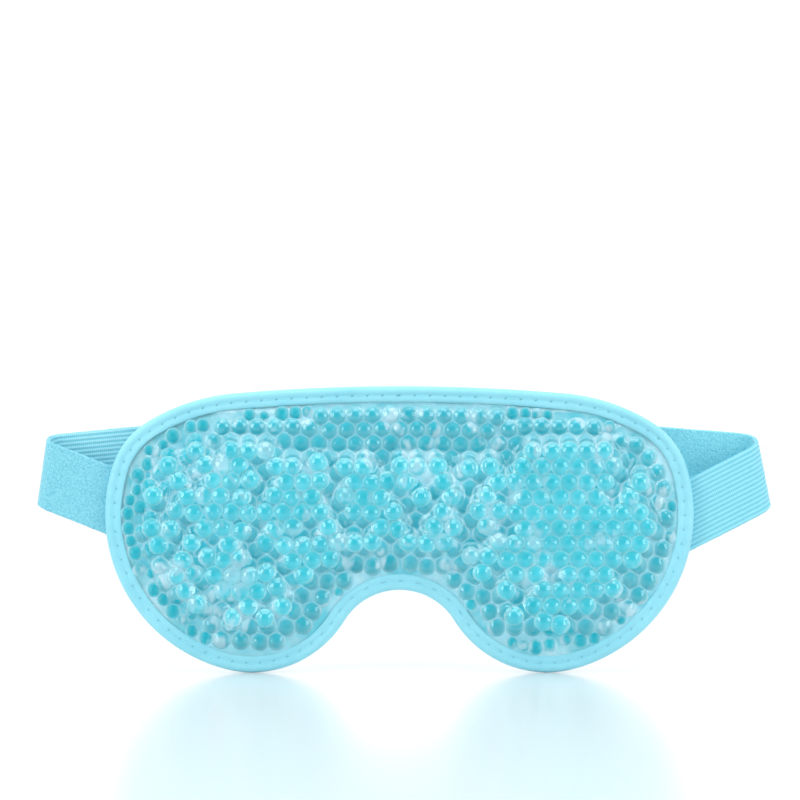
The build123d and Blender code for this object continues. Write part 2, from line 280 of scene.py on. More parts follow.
def thread_material():
    mat, nt, bsdf = new_material("sewing_thread")
    twist = node(nt, "ShaderNodeTexWave", wave_type="BANDS", bands_direction="DIAGONAL", Scale=1400.0)
    nt.links.new(scaled_coords(nt, (1, 1, 1)), twist.inputs["Vector"])
    base = mix_colour(nt, twist.outputs["Fac"], srgb(134, 216, 235), srgb(162, 234, 248))
    nt.links.new(base, bsdf.inputs["Base Color"])
    nt.links.new(bump(nt, twist.outputs["Fac"], 0.5, 0.00005), bsdf.inputs["Normal"])
    bsdf.inputs["Roughness"].default_value = 0.5
    return mat


def gel_material(name, tint, pale, clear):
    """Water gel: low index, deep in the middle of a bead and pale where it presses on its neighbours, with
    painted highlight round each bead's rim, on its left and right sides, and where the film lifts off the
    beads.
    """
    mat, nt, bsdf = new_material(name)
    coords = scaled_coords(nt, (1, 1, 1))
    patch = noise(nt, coords, 75.0, 2.0)
    deep = tuple(c * k for c, k in zip(tint, (0.4, 0.82, 0.86))) + (1.0,)
    body = mix_colour(nt, patch, deep, tuple(tint) + (1.0,))
    # Partly painted highlight: the mask pales the gel where beads press together, and, as painted lamp
    # reflection, round each bead's rim and on its left and right sides.
    press_and_highlight = node(nt, "ShaderNodeAttribute", attribute_name="press_and_highlight").outputs["Fac"]
    base = mix_colour(nt, press_and_highlight, body, tuple(pale) + (1.0,))
    # Pale patches where air lies between film and beads: the pockets are real, their whiteness is painted
    # film highlight.
    air_pocket_highlight = node(nt, "ShaderNodeMapRange")
    nt.links.new(noise(nt, scaled_coords(nt, (1, 1, 0.6)), 130.0, 2.0), air_pocket_highlight.inputs["Value"])
    air_pocket_highlight.inputs["From Min"].default_value = 0.56
    air_pocket_highlight.inputs["From Max"].default_value = 0.64
    base = mix_colour(nt, maths(nt, "MULTIPLY", air_pocket_highlight.outputs["Result"], 0.7), base, (0.80, 0.92, 0.98, 1.0))
    nt.links.new(base, bsdf.inputs["Base Color"])
    nt.links.new(bump(nt, noise(nt, coords, 420.0, 1.0), 0.12, 0.0004), bsdf.inputs["Normal"])
    bsdf.inputs["Roughness"].default_value = 0.03
    bsdf.inputs["IOR"].default_value = 1.33
    bsdf.inputs["Transmission Weight"].default_value = clear
    bsdf.inputs["Specular IOR Level"].default_value = 0.9
    return mat


def clear_film_material():
    mat, nt, bsdf = new_material("clear_film")
    coords = scaled_coords(nt, (1, 1, 1))
    ripple = noise(nt, coords, 190.0, 3.0)
    nt.links.new(mix_colour(nt, ripple, (0.93, 0.985, 0.99, 1), (0.99, 1, 1, 1)), bsdf.inputs["Base Color"])
    nt.links.new(bump(nt, ripple, 0.25, 0.0006), bsdf.inputs["Normal"])
    bsdf.inputs["Roughness"].default_value = 0.04
    bsdf.inputs["IOR"].default_value = 1.45
    bsdf.inputs["Transmission Weight"].default_value = 1.0
    return mat


def back_film_material():
    """The rear film with the pale cloth showing through it."""
    mat, nt, bsdf = new_material("rear_film")
    coords = scaled_coords(nt, (1, 1, 1))
    cloud = node(nt, "ShaderNodeMapRange")
    nt.links.new(noise(nt, coords, 85.0, 3.0), cloud.inputs["Value"])
    cloud.inputs["From Min"].default_value = 0.35
    cloud.inputs["From Max"].default_value = 0.65
    base = mix_colour(nt, cloud.outputs["Result"], srgb(92, 200, 216), srgb(190, 232, 244))
    nt.links.new(base, bsdf.inputs["Base Color"])
    nt.links.new(bump(nt, noise(nt, coords, 300.0, 3.0), 0.3, 0.0004), bsdf.inputs["Normal"])
    bsdf.inputs["Roughness"].default_value = 0.3
    bsdf.inputs["Coat Weight"].default_value = 0.6
    bsdf.inputs["Coat Roughness"].default_value = 0.08
    return mat


def plush_material():
    mat, nt, bsdf = new_material("plush_pile")
    coords = scaled_coords(nt, (1, 1, 1))
    tuft = node(nt, "ShaderNodeTexVoronoi", Scale=950.0)
    nt.links.new(coords, tuft.inputs["Vector"])
    drift = noise(nt, coords, 90.0, 4.0)
    fibre = noise(nt, scaled_coords(nt, (1, 1, 0.45)), 2400.0, 2.0)
    base = mix_colour(nt, drift, srgb(128, 208, 226), srgb(164, 230, 243))
    base = mix_colour(nt, maths(nt, "MULTIPLY", tuft.outputs["Distance"], 0.7), srgb(186, 238, 248), base)
    base = mix_colour(nt, maths(nt, "MULTIPLY", fibre, 0.25), base, srgb(98, 186, 208))
    nt.links.new(base, bsdf.inputs["Base Color"])
    height = maths(nt, "SUBTRACT", maths(nt, "MULTIPLY", fibre, 0.6), tuft.outputs["Distance"])
    nt.links.new(bump(nt, height, 0.7, 0.0005), bsdf.inputs["Normal"])
    bsdf.inputs["Roughness"].default_value = 0.95
    bsdf.inputs["Sheen Weight"].default_value = 0.7
    bsdf.inputs["Sheen Roughness"].default_value = 0.5
    return mat


def ribbed_material(name, light, dark):
    """Woven elastic, smooth face: yarns along the length with fine cross picks between them, and painted
    shade down the grooves between the ribs.
    """
    mat, nt, bsdf = new_material(name)
    picks = node(nt, "ShaderNodeTexWave", wave_type="BANDS", bands_direction="X", Scale=420.0,
                 Distortion=1.2, Detail=1.0)
    nt.links.new(scaled_coords(nt, (1, 1, 1), "metres"), picks.inputs["Vector"])
    yarn = noise(nt, scaled_coords(nt, (0.25, 1, 1), "metres"), 1300.0, 2.0)
    # Painted shade: the colour runs to the dark tone down each groove between the ribs.
    groove_shade = node(nt, "ShaderNodeAttribute", attribute_name="groove_shade").outputs["Fac"]
    shade = maths(nt, "MULTIPLY_ADD", groove_shade, 0.75, maths(nt, "MULTIPLY", yarn, 0.3))
    base = mix_colour(nt, shade, light, dark)
    base = mix_colour(nt, maths(nt, "MULTIPLY", picks.outputs["Fac"], 0.12), base, dark)
    nt.links.new(base, bsdf.inputs["Base Color"])
    height = maths(nt, "ADD", picks.outputs["Fac"], yarn)
    nt.links.new(bump(nt, height, 0.35, 0.00015), bsdf.inputs["Normal"])
    bsdf.inputs["Roughness"].default_value = 0.75
    bsdf.inputs["Sheen Weight"].default_value = 0.2
    return mat


def dotted_material(name, light, dark):
    """Woven elastic, loop face: a fine grain of tiny loops in staggered columns."""
    mat, nt, bsdf = new_material(name)
    uv = scaled_coords(nt, (1, 1, 1), "metres")
    grain = node(nt, "ShaderNodeTexVoronoi", Scale=1500.0)
    grain.inputs["Randomness"].default_value = 0.75
    nt.links.new(uv, grain.inputs["Vector"])
    speck = noise(nt, uv, 1100.0, 2.0)
    dots = node(nt, "ShaderNodeMapRange")
    nt.links.new(speck, dots.inputs["Value"])
    dots.inputs["From Min"].default_value = 0.5
    dots.inputs["From Max"].default_value = 0.68
    base = mix_colour(nt, grain.outputs["Distance"], light, dark)
    base = mix_colour(nt, maths(nt, "MULTIPLY", dots.outputs["Result"], 0.5), base, dark)
    nt.links.new(base, bsdf.inputs["Base Color"])
    height = maths(nt, "ADD", maths(nt, "MULTIPLY", grain.outputs["Distance"], -1.0), speck)
    nt.links.new(bump(nt, height, 0.6, 0.0003), bsdf.inputs["Normal"])
    bsdf.inputs["Roughness"].default_value = 0.9
    bsdf.inputs["Sheen Weight"].default_value = 0.35
    return mat


def hook_material():
    mat, nt, bsdf = new_material("hook_nylon")
    cloud = noise(nt, scaled_coords(nt, (1, 1, 1)), 500.0, 2.0)
    nt.links.new(mix_colour(nt, cloud, srgb(120, 198, 218), srgb(158, 224, 238)), bsdf.inputs["Base Color"])
    nt.links.new(bump(nt, cloud, 0.3, 0.0002), bsdf.inputs["Normal"])
    bsdf.inputs["Roughness"].default_value = 0.45
    return mat


def floor_material():
    mat, nt, bsdf = new_material("floor_gloss")
    speckle = noise(nt, scaled_coords(nt, (1, 1, 1)), 3.0, 1.0)
    base = mix_colour(nt, speckle, (0.87, 0.87, 0.87, 1), (0.89, 0.89, 0.89, 1))
    nt.links.new(base, bsdf.inputs["Base Color"])
    bsdf.inputs["Roughness"].default_value = 0.17
    bsdf.inputs["IOR"].default_value = 1.5
    return mat


MATS = {
    "tape": tape_material(),
    "thread": thread_material(),
    # The rear layer takes a darker, less clear copy of the same gel: painted shade for the beads lying
    # behind the front layer.
    "gel_rear": gel_material("gel_rear", (0.02, 0.56, 0.66), (0.66, 0.94, 0.98), 0.4),
    "gel_front": gel_material("gel_front", (0.05, 0.78, 0.87), (0.72, 0.98, 1.0), 0.66),
    "film": clear_film_material(),
    "rear_film": back_film_material(),
    "plush": plush_material(),
    # The rear faces of the strap (ribbed on the left, loops on the right) are painted lighter than the same
    # weave on the front faces: painted fill light against the shade inside the strap's fold.
    "rib_left_painted_fill": ribbed_material("elastic_rib_left", srgb(178, 240, 252), srgb(112, 200, 220)),
    "rib_right": ribbed_material("elastic_rib_right", srgb(158, 230, 246), srgb(104, 196, 216)),
    "dot_left": dotted_material("elastic_loop_left", srgb(152, 226, 242), srgb(98, 186, 208)),
    "dot_right_painted_fill": dotted_material("elastic_loop_right", srgb(160, 236, 250), srgb(106, 202, 222)),
    "hook": hook_material(),
    "hem": dotted_material("elastic_hem", srgb(146, 224, 240), srgb(92, 186, 208)),
}


# ---------------------------------------------------------------- binding and stitches

def make_binding():
    """The tape: a closed section carried round the outline, puffed at the roll and sunk at the stitches."""
    front = [(6.0, -3.86), (6.04, -4.05), (5.98, -4.28), (5.75, -4.42), (5.3, -4.5), (4.7, -4.52),
             (4.2, -4.46), (3.8, -4.34), (3.5, -4.27), (3.2, -4.33), (2.8, -4.52), (2.3, -4.72),
             (1.8, -4.8), (1.3, -4.72), (0.85, -4.45), (0.45, -4.0), (0.15, -3.4), (0.02, -2.9)]
    back = [(s, -5.0 - y) for s, y in reversed(front)]
    inner = [(5.2, -1.22), (1.5, -1.3), (0.9, -2.5), (1.5, -3.7), (5.2, -3.78)]
    profile = front + [(0.0, -2.5)] + back + inner
    outer_count = len(front) + 1 + len(back)
    n, m = len(RIM_P), len(profile)
    per_stitch = RIM_S[-1] / round(RIM_S[-1] / STITCH_PITCH)
    phase = (RIM_S / per_stitch) % 1.0
    near_hole = np.exp(-((np.minimum(phase, 1 - phase) * per_stitch) / 0.62) ** 2)
    wrinkle = np.exp(-(np.hypot(*(RIM_P - WRINKLE_AT).T) / 9.0) ** 2)
    joint_s = RIM_S[np.argmin(np.hypot(*(RIM_P - TAPE_LAP_AT).T))]
    verts = np.zeros((n, m, 3))
    hole_shade = np.zeros((n, m))
    for k, (s, y) in enumerate(profile):
        out = 1.0 if k < outer_count else 0.0
        face = -1.0 if y < -2.5 else 1.0
        roll = math.exp(-((s - 1.8) / 1.5) ** 2)
        leg = math.exp(-((s - 4.9) / 0.9) ** 2)
        soft = value_noise(RIM_S, np.full(n, s * 0.6 + face * 40), 9.0, 3)
        fine = value_noise(RIM_S, np.full(n, s + face * 40), 2.6, 9)
        pucker = np.cos(2 * math.pi * phase) * (0.10 * roll + 0.09 * leg)
        crumple = wrinkle * value_noise(RIM_S, np.full(n, s * 0.8), 2.4, 21) * 0.45 * (roll + leg)
        lift = soft * 0.12 * (roll + leg) + fine * 0.05 - pucker + crumple
        dimple = near_hole * math.exp(-((s - STITCH_INSET) / 0.42) ** 2)
        past = RIM_S - joint_s - 0.9 * s
        lap = np.where(past > 0, np.clip(past / 0.7, 0, 1) * np.clip(1 - (past - 9) / 6, 0, 1), 0.0) * 0.28
        lap = lap if face < 0 and s < 6.1 else lap * 0.0
        yy = y + face * out * (lift + lap - 0.30 * dimple)
        spread = s + out * (value_noise(RIM_S, np.full(n, 7.0 + face), 14.0, 5) * 0.10 if s > 5 else 0.0)
        verts[:, k, 0] = RIM_P[:, 0] - RIM_N[:, 0] * spread
        verts[:, k, 2] = RIM_P[:, 1] - RIM_N[:, 1] * spread
        verts[:, k, 1] = yy
        # Mask of painted shade for the needle-hole dimples, darkened in the tape's colour.
        hole_shade[:, k] = out * np.clip(dimple * 1.5 - 0.55, 0, 1)
    ob = make_mesh("binding_tape", verts.reshape(-1, 3), grid_faces(n, m, True, True))
    set_point_value(ob.data, "hole_shade", hole_shade)
    across = np.array([0.0] + [math.dist(profile[k], profile[k + 1]) for k in range(m - 1)]).cumsum()
    uv_grid = np.stack(np.broadcast_arrays(RIM_S[:, None] * MM, across[None, :] * MM), -1).reshape(-1, 2)
    set_uv(ob.data, uv_grid)
    ob.data.materials.append(MATS["tape"])
    return ob, per_stitch


def set_point_value(mesh, name, values):
    attribute = mesh.attributes.new(name, "FLOAT", "POINT")
    attribute.data.foreach_set("value", np.asarray(values).ravel().astype(np.float32))


def set_uv(mesh, uv_per_vertex):
    layer = mesh.uv_layers.new(name="metres")
    index = np.zeros(len(mesh.loops), np.int64)
    mesh.loops.foreach_get("vertex_index", index)
    layer.data.foreach_set("uv", uv_per_vertex[index].astype(np.float32).ravel())


def thread_rows(centre, along, normal, length, radius=0.2, rise=0.16, sides=7, steps=7):
    """Vertices and faces of one stitch: a short thread that rises out of the cloth and dips back in."""
    along, normal = Vector(along).normalized(), Vector(normal).normalized()
    side = along.cross(normal)
    verts, faces = [], []
    for i in range(steps):
        t = i / (steps - 1) * 2 - 1
        r = radius * (1 - 0.35 * t ** 4)
        c = Vector(centre) + along * (t * length / 2) + normal * (rise * (1 - t ** 2) - 0.22 * t ** 6)
        for j in range(sides):
            a = 2 * math.pi * j / sides
            verts.append(c + normal * (r * math.sin(a)) + side * (r * 1.15 * math.cos(a)))
    for i in range(steps - 1):
        for j in range(sides):
            a, b = i * sides + j, i * sides + (j + 1) % sides
            faces.append((a, b, b + sides, a + sides))
    faces.append(tuple(range(sides))[::-1])
    faces.append(tuple(range((steps - 1) * sides, steps * sides)))
    return verts, faces


def join_threads(name, stitches):
    verts, faces = [], []
    for v, f in stitches:
        faces += [tuple(i + len(verts) for i in face) for face in f]
        verts += [tuple(p) for p in v]
    ob = make_mesh(name, verts, faces)
    ob.data.materials.append(MATS["thread"])
    return ob


def rim_stitches(name, per_stitch, y, way, skip=None):
    """Stitches between the needle holes, along the binding's valley."""
    total = RIM_S[-1] + RIM_S[1]
    found = []
    for k in range(int(round(total / per_stitch))):
        s = (k + 0.5) * per_stitch
        i = int(round(s / RIM_S[1])) % len(RIM_P)
        p, n = RIM_P[i], RIM_N[i]
        x, z = p - n * STITCH_INSET
        if skip and skip(x, z):
            continue
        found.append(thread_rows((x, y, z), (n[1], 0, -n[0]), (0, way, 0), per_stitch - 1.0, 0.17, 0.05))
    return join_threads(name, found)


binding, per_stitch = make_binding()
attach(binding, "mask")
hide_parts("edge_binding")


def root_covers(x, z):
    seam_z = HALVES["left" if x < 0 else "right"]["seam"][1]
    return abs(x) > 90 and abs(z - seam_z) < STRAP_WIDTH / 2 + 3


for side_name, y, way in (("front", -4.2, -1), ("back", -0.8, 1)):
    ob = rim_stitches(f"edge_stitches_{side_name}", per_stitch, y, way, root_covers if way > 0 else None)
    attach(ob, "mask")
    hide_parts(f"binding_stitches_{side_name}")


# ---------------------------------------------------------------- gel beads

def bead_centres(node_name):
    """Where each ball of a CAD bead node is, in mm, from its surface points and their normals."""
    mesh = NODES[node_name].data
    co = np.zeros(len(mesh.vertices) * 3, np.float32)
    no = np.zeros(len(mesh.vertices) * 3, np.float32)
    mesh.vertices.foreach_get("co", co)
    mesh.vertices.foreach_get("normal", no)
    left = co.reshape(-1, 3) / MM - no.reshape(-1, 3) * BEAD_R
    centres = []
    while len(left):
        near = np.linalg.norm(left - left[0], axis=1) < 1.6
        centres.append(left[near].mean(0))
        left = left[~near]
    return centres


def ball(rings=15, segments=22):
    verts = [(0.0, 0.0, 1.0)]
    for i in range(1, rings):
        a = math.pi * i / rings
        for j in range(segments):
            b = 2 * math.pi * j / segments
            verts.append((math.sin(a) * math.cos(b), math.sin(a) * math.sin(b), math.cos(a)))
    verts.append((0.0, 0.0, -1.0))
    faces = []
    last = len(verts) - 1
    for j in range(segments):
        k = (j + 1) % segments
        faces.append((0, 1 + j, 1 + k))
        for i in range(rings - 2):
            a, b = 1 + i * segments, 1 + (i + 1) * segments
            faces.append((a + j, b + j, b + k, a + k))
        a = 1 + (rings - 2) * segments
        faces.append((a + k, a + j, last))
    return np.array(verts), faces


PARTS = ("left", "middle", "right")
REAR_GROUPS = [f"gel_beads_rear_{part}" for part in PARTS]
GROUPS = REAR_GROUPS + [f"gel_beads_front_{part}" for part in PARTS]
CENTRES = {g: bead_centres(g) for g in GROUPS}
ALL_BEADS = np.array([c for g in GROUPS for c in CENTRES[g]])


def small_beads():
    """Smaller beads that settle in the gaps of the rear layer: (centre, radius, group)."""
    found = []
    rng = np.random.default_rng(12)
    spots = rng.uniform((-104, -66), (104, 34), (14000, 2))
    spots = spots[inset_of(spots[:, 0], spots[:, 1]) > 8.4]
    insets = inset_of(spots[:, 0], spots[:, 1])
    centres = ALL_BEADS.copy()
    radii = np.full(len(centres), BEAD_R)
    for (x, z), inset in zip(spots, insets):
        r = min(2.7, inset - 6.3)
        spot = np.array([x, BACK_FILM_Y - r - 0.1, z])
        room = (np.linalg.norm(centres - spot, axis=1) - radii).min()
        if room < 1.55:
            continue
        r = min(r, room + 0.25)
        spot[1] = BACK_FILM_Y - r - 0.1
        nearest = min(REAR_GROUPS, key=lambda g: np.linalg.norm(np.array(CENTRES[g]) - spot, axis=1).min())
        found.append((spot, r, nearest))
        centres = np.vstack([centres, spot])
        radii = np.append(radii, r)
    return found


def make_beads():
    """Each bead a little too fat for its place, pressed flat against its neighbours and the rear film."""
    unit, faces = ball()
    rng = np.random.default_rng(4)
    extra = small_beads()
    centres = np.vstack([ALL_BEADS] + [c for c, _, _ in extra])
    reach = np.array([FAT_BEAD_R] * len(ALL_BEADS) + [r * SMALL_SWELL for _, r, _ in extra])
    for group in GROUPS:
        verts, all_faces, press_and_highlight = [], [], []
        here = [(c, FAT_BEAD_R) for c in CENTRES[group]]
        here += [(c, r * SMALL_SWELL) for c, r, g in extra if g == group]
        for centre, size in here:
            radius = size * (1 + rng.uniform(-0.05, 0.02))
            squash = np.array([1.0, rng.uniform(0.9, 1.0), 1.0])
            turn = Matrix.Rotation(rng.uniform(0, 6.28), 3, Vector(rng.normal(size=3)))
            points = (unit @ np.array(turn)) * radius * squash
            away = centres - centre
            dist = np.linalg.norm(away, axis=1)
            flat = np.zeros(len(points))
            for other in np.where((dist > 0.5) & (dist < size + reach))[0]:
                d = away[other] / dist[other]
                share = size / (size + reach[other])
                over = points @ d - (dist[other] * share - BEAD_GAP)
                points -= np.outer(np.clip(over, 0, None), d)
                flat = np.maximum(flat, np.clip(over / 0.35 + 0.6, 0, 1))
            # Pale where pressed flat on a neighbour (real); the pale rim and the pale left and right sides
            # are painted reflection of the side lamps in the gel.
            wide = np.hypot(points[:, 0], points[:, 2]) / radius
            side = np.clip(np.abs(points[:, 0]) / radius, 0, 1) ** 3
            pale = 0.6 * flat * (wide > 0.45) + 0.55 * smoothstep((wide - 0.7) / 0.28) + 0.55 * side
            press_and_highlight.append(np.clip(pale, 0, 1))
            points[:, 1] = np.minimum(points[:, 1], BACK_FILM_Y - 0.06 - centre[1])
            all_faces += [tuple(i + len(verts) * len(unit) for i in f) for f in faces]
            verts.append(points + centre)
        ob = make_mesh(group.replace("gel_beads", "beads"), np.vstack(verts), all_faces)
        set_point_value(ob.data, "press_and_highlight", np.concatenate(press_and_highlight))
        ob.data.materials.append(MATS["gel_rear" if "rear" in group else "gel_front"])
        ob.visible_shadow = False
        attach(ob, "mask")
        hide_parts(group)


make_beads()


# ---------------------------------------------------------------- films and plush

def sheet_grid(step, least_inset):
    """Grid points of the mask's window with their insets, and which cells lie inside."""
    xs = np.arange(-109, 109.01, step)
    zs = np.arange(-69, 39.01, step)
    gx, gz = np.meshgrid(xs, zs, indexing="ij")
    inset = inset_of(gx, gz).reshape(gx.shape)
    inside = inset > least_inset
    return gx, gz, inset, inside


def grid_object(name, gx, gy, gz, inside, flip):
    """A mesh of the grid cells whose four corners are inside."""
    number = -np.ones(gx.shape, np.int64)
    cell = inside[:-1, :-1] & inside[1:, :-1] & inside[1:, 1:] & inside[:-1, 1:]
    used = np.zeros(gx.shape, bool)
    for a, b in ((0, 0), (1, 0), (1, 1), (0, 1)):
        used[a:gx.shape[0] - 1 + a, b:gx.shape[1] - 1 + b] |= cell
    number[used] = np.arange(used.sum())
    verts = np.stack([gx[used], gy[used], gz[used]], -1)
    i, j = np.where(cell)
    quads = np.stack([number[i, j], number[i + 1, j], number[i + 1, j + 1], number[i, j + 1]], -1)
    if flip:
        quads = quads[:, ::-1]
    return make_mesh(name, verts, quads.tolist())


def make_front_film():
    """The clear film: a membrane pulled over the beads, welded flat at the edge, with soft folds."""
    step = 0.7
    gx, gz, inset, inside = sheet_grid(step, 4.7)
    bead = np.full(gx.shape, FLANGE_Y)
    top = FAT_BEAD_R * 0.96 + 0.1
    for cx, cy, cz in ALL_BEADS:
        i0, i1 = int((cx - 4 + 109) / step), int((cx + 4 + 109) / step) + 2
        j0, j1 = int((cz - 4 + 69) / step), int((cz + 4 + 69) / step) + 2
        r2 = (gx[i0:i1, j0:j1] - cx) ** 2 + (gz[i0:i1, j0:j1] - cz) ** 2
        front = np.where(r2 < top ** 2, cy - np.sqrt(np.clip(top ** 2 - r2, 0, None)), FLANGE_Y)
        bead[i0:i1, j0:j1] = np.minimum(bead[i0:i1, j0:j1], front)
    ramp = FLANGE_Y - 11.2 * smoothstep((inset - 6.2) / 9.0) ** 0.8
    floor_y = np.where(inset > 6.2, FLANGE_Y, FLANGE_Y + 0.15)
    film = np.minimum(bead, floor_y)
    for _ in range(90):
        mean = (np.roll(film, 1, 0) + np.roll(film, -1, 0) + np.roll(film, 1, 1) + np.roll(film, -1, 1)) / 4
        film = np.where(inset > 6.2, np.minimum(bead, mean + 0.035), floor_y)
    film = np.maximum(film, ramp - 1.5)
    film = np.minimum(film, bead)
    loose = np.clip((bead - film) / 1.2, 0, 1) * smoothstep((inset - 6.4) / 2.0)
    left = smoothstep((-70 - gx) / 12)
    fold = np.sin(inset * 2.6 + 2.2 * value_noise(gx, gz, 11.0, 31)) * 0.5
    film = film - loose * left * fold * 0.9
    pucker = value_noise(gx * 0.5, gz, 5.0, 17) * 0.22 + value_noise(gx, gz, 2.4, 8) * 0.08
    film = film - loose * pucker
    ob = grid_object("clear_front_film", gx, film, gz, inside, flip=False)
    ob.data.materials.append(MATS["film"])
    solid = ob.modifiers.new("thickness", "SOLIDIFY")
    solid.thickness = 0.25 * MM
    solid.offset = 1.0
    ob.visible_shadow = False
    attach(ob, "mask")
    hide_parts("front_film")


make_front_film()

NODES["back_film"].data.materials.clear()
NODES["back_film"].data.materials.append(MATS["rear_film"])


def make_plush():
    """The soft back: pile that stands proud inside the binding, with a fine uneven nap."""
    gx, gz, inset, inside = sheet_grid(0.8, 4.8)
    rise = smoothstep((inset - 5.9) / 3.6) ** 0.7
    nap = value_noise(gx, gz, 1.6, 41) * 0.16 + value_noise(gx, gz, 4.5, 43) * 0.14
    nap += value_noise(gx, gz, 22, 47) * 0.2
    y = PLUSH_EDGE_Y - 0.1 + 1.25 * rise + nap * rise
    ob = grid_object("plush_back", gx, y, gz, inside, flip=True)
    ob.data.materials.append(MATS["plush"])
    solid = ob.modifiers.new("thickness", "SOLIDIFY")
    solid.thickness = 1.7 * MM
    solid.offset = -1.0
    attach(ob, "mask")
    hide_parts("plush_backing")


make_plush()


# ---------------------------------------------------------------- strap

def strap_frame(half):
    lean = math.radians(half["lean"])
    out = Vector((half["side"] * math.cos(lean), 0, math.sin(lean)))
    up = Vector((-half["side"] * math.sin(lean), 0, math.cos(lean)))
    seam = Vector((half["seam"][0], STRAP_Y, half["seam"][1]))
    return seam, out, up


def strap_row(half, a):
    """The strap's section line at unfolded distance a (square to the crease), as
    (middle point, unit line direction, half length, front normal, length along the strap, shear)."""
    seam, out, up = strap_frame(half)
    slant = math.radians(half["slant"])
    reach, step, r = half["reach"], half["step"], half["bend"]
    turn = reach + step
    back = Vector((0, 1, 0))
    if a < reach - r:
        u, y, n = a, 0.0, -back
    elif a < reach + r:
        t = (a - reach + r) / (2 * r) * math.pi / 2
        u, y = reach - r + r * math.sin(t), r - r * math.cos(t)
        n = out * math.sin(t) - back * math.cos(t)
    elif a < turn - r:
        u, y, n = reach, a - reach, out.copy()
    elif a < turn + r:
        t = (a - turn + r) / (2 * r) * math.pi / 2
        u, y = reach - r + r * math.cos(t), step - r + r * math.sin(t)
        n = out * math.cos(t) + back * math.sin(t)
    else:
        u, y, n = reach - (a - turn), step, back.copy()
    middle = seam + out * u + back * y + up * (a * math.tan(slant))
    return middle, up, STRAP_WIDTH / 2 / math.cos(slant), n, a / math.cos(slant), math.sin(slant)


def tail_row(half, a, square):
    """A row on the flat tail that turns from the crease's direction to square as square goes 0 to 1."""
    middle, up, half_length, n, along, shear = strap_row(half, a)
    seam, out, _ = strap_frame(half)
    slant = math.radians(half["slant"])
    forward = (-out * math.cos(slant) + up * math.sin(slant)).normalized()
    width = (up * math.cos(slant) + out * math.sin(slant)).normalized()
    angle = slant * (1 - square)
    line = width * math.cos(angle) + forward * math.sin(angle)
    return middle, line, STRAP_WIDTH / 2 / math.cos(angle), n, along, math.sin(angle)


RIBS = 15
ACROSS = 121


def ribbon(rows, ribbed_front, seed):
    """Vertex grid, painted shade for the rib grooves and UVs of a ribbon through the rows. Columns go down
    the front face and back up the rear face."""
    t = np.linspace(1, -1, ACROSS)
    edge = np.clip((1 - np.abs(t)) / 0.05, 0, 1)
    body = np.sqrt(1 - (1 - edge) ** 2)
    rib = np.cos(math.pi * RIBS * t)
    half_t = STRAP_T / 2
    verts, groove_shade, uv = [], [], []
    for middle, line, half_length, n, along, shear in rows:
        for face in (1, -1):
            column = t if face == 1 else t[::-1]
            b = body if face == 1 else body[::-1]
            ribbed = (face == 1) == ribbed_front
            wave = (rib if face == 1 else rib[::-1])
            place = column * half_length
            length = along + place * shear
            ripple = value_noise(length, place, 3.0, seed) * 0.04
            ripple += value_noise(length, place, 0.9, seed + 5) * 0.03
            height = half_t * b + (0.085 * wave * b if ribbed else 0.0) + ripple * b
            frayed = 0.10 * value_noise(length, column * 3, 1.1, seed + 9) * (np.abs(column) > 0.97)
            line_v, n_v, mid = np.array(line), np.array(n), np.array(middle)
            pts = mid + np.outer(place + np.sign(column) * frayed, line_v) + np.outer(height * face, n_v)
            verts.append(pts)
            # Painted shade mask: 1 at the bottom of each groove on the ribbed face, 0 on the crests and on
            # the loop face.
            groove_shade.append(np.where(ribbed, np.clip(0.5 - 0.5 * wave, 0, 1), 0.0) * np.ones(ACROSS))
            uv.append(np.stack([length, place + face * 40], -1) * MM)
    return np.array(verts).reshape(len(rows), 2 * ACROSS, 3), np.array(groove_shade).reshape(len(rows), -1), \
        np.array(uv).reshape(len(rows), -1, 2)


def outward_normals(verts, rows):
    """Smooth normals of the whole ribbon, so that its pieces show no line where they meet."""
    along = np.gradient(verts, axis=0)
    across = np.roll(verts, -1, 1) - np.roll(verts, 1, 1)
    n = np.cross(along, across)
    n /= np.maximum(np.linalg.norm(n, axis=-1, keepdims=True), 1e-9)
    face = np.where(np.arange(verts.shape[1]) < ACROSS, 1, -1)
    outward = np.array([row[3] for row in rows])[:, None, :] * face[None, :, None]
    return n if (n * outward).sum() > 0 else -n


def ribbon_piece(name, data, first, last, front_mat, rear_mat):
    verts, groove_shade, uv = (d[first:last + 1] for d in data[:3])
    rows, columns = verts.shape[:2]
    faces = grid_faces(rows, columns, False, True)
    start_cap = tuple(range(columns))[::-1]
    end_cap = tuple(range((rows - 1) * columns, rows * columns))
    a, b, c, _ = (verts.reshape(-1, 3)[k] for k in faces[columns // 4])
    if np.dot(np.cross(b - a, c - b), data[3][first, columns // 4]) < 0:
        faces = [f[::-1] for f in faces]
        start_cap, end_cap = start_cap[::-1], end_cap[::-1]
    ob = make_mesh(name, verts.reshape(-1, 3), faces + [start_cap, end_cap])
    set_point_value(ob.data, "groove_shade", groove_shade)
    set_uv(ob.data, uv.reshape(-1, 2))
    ob.data.materials.append(front_mat)
    ob.data.materials.append(rear_mat)
    column = [k % columns for k in range(len(faces))]
    slots = [0 if c < ACROSS - 1 or c == columns - 1 else 1 for c in column]
    ob.data.polygons.foreach_set("material_index", slots + [0, 0])
    ob.data.normals_split_custom_set_from_vertices(data[3][first:last + 1].reshape(-1, 3).tolist())
    return ob


def point_at(half, a):
    return strap_row(half, a)[0] * MM


def square_to_crease(half, a):
    """The point at distance a without the slant's rise, so that two of them span square to the crease."""
    rise = a * math.tan(math.radians(half["slant"]))
    return (strap_row(half, a)[0] - strap_frame(half)[2] * rise) * MM


